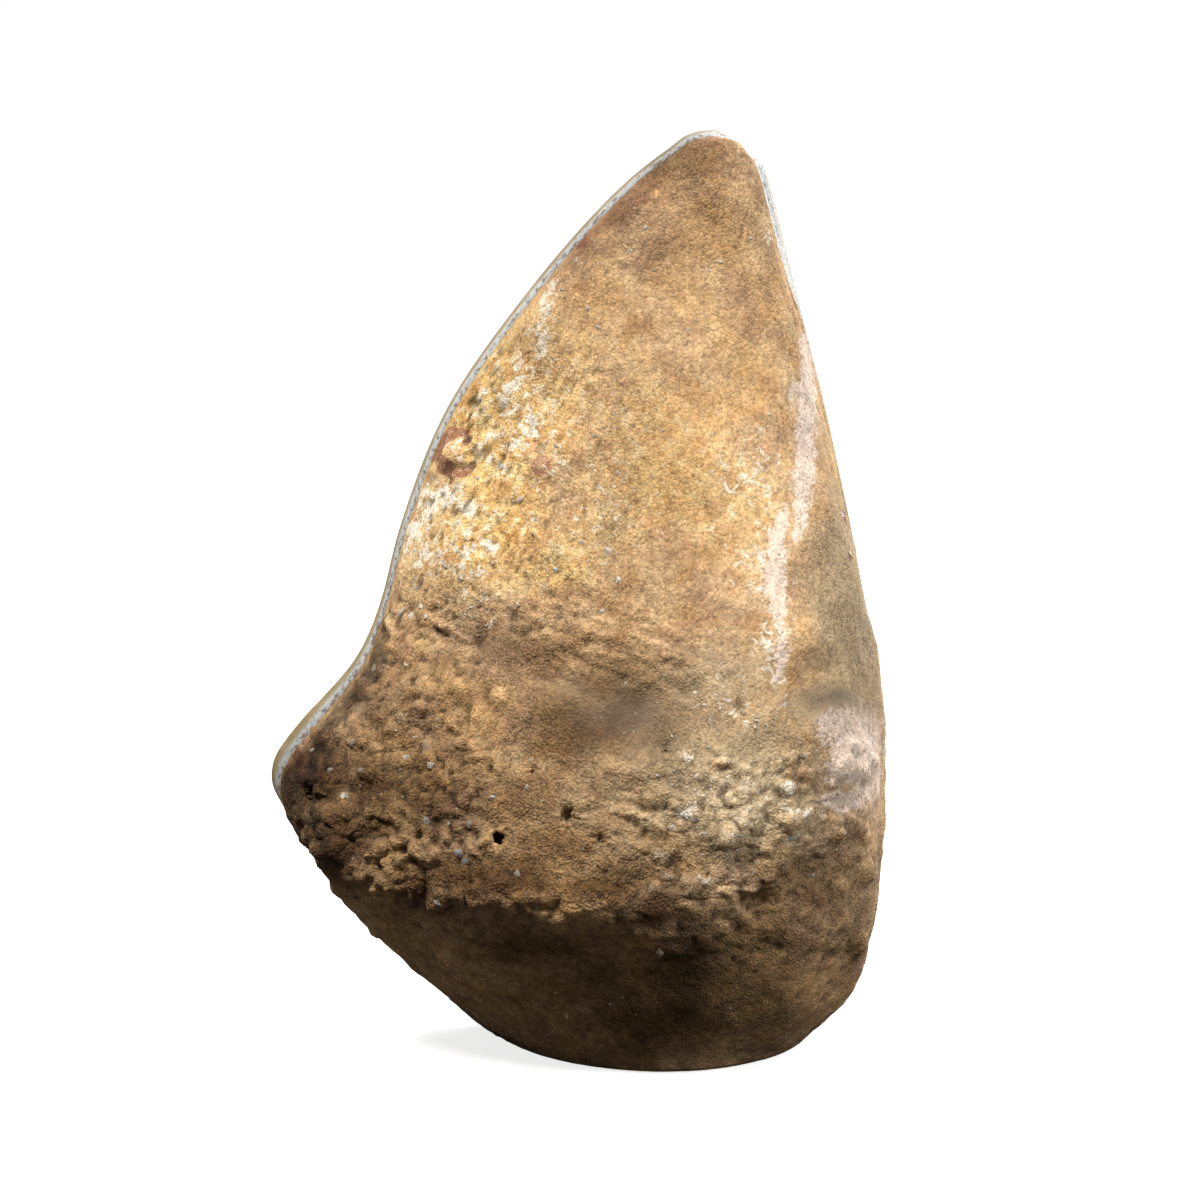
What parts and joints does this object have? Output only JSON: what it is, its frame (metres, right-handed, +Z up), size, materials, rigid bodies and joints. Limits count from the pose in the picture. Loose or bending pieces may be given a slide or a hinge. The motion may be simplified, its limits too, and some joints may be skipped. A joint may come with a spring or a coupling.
{
  "type": "citrine cathedral geode",
  "caption": "Half geode standing on a sawn base: rough weathered rind behind, polished agate rim, hollow lined with citrine points.",
  "frame": {"origin": "middle of the part's box, on the sawn base that it stands on", "axes": "+Z up, the rough rind faces -Y, the polished face and the hollow face +Y, +X to the right seen from the rind's side"},
  "size_m": [0.2174, 0.1064, 0.317],
  "materials": {
    "weathered_stone": "rough weathered rind, ochre to dark brown, with a polished agate rim",
    "citrine": "clear golden quartz with glossy flat faces"
  },
  "bodies": {
    "root": {"geode_stone": "weathered_stone", "citrine_crystals": "citrine"}
  },
  "joints": []
}
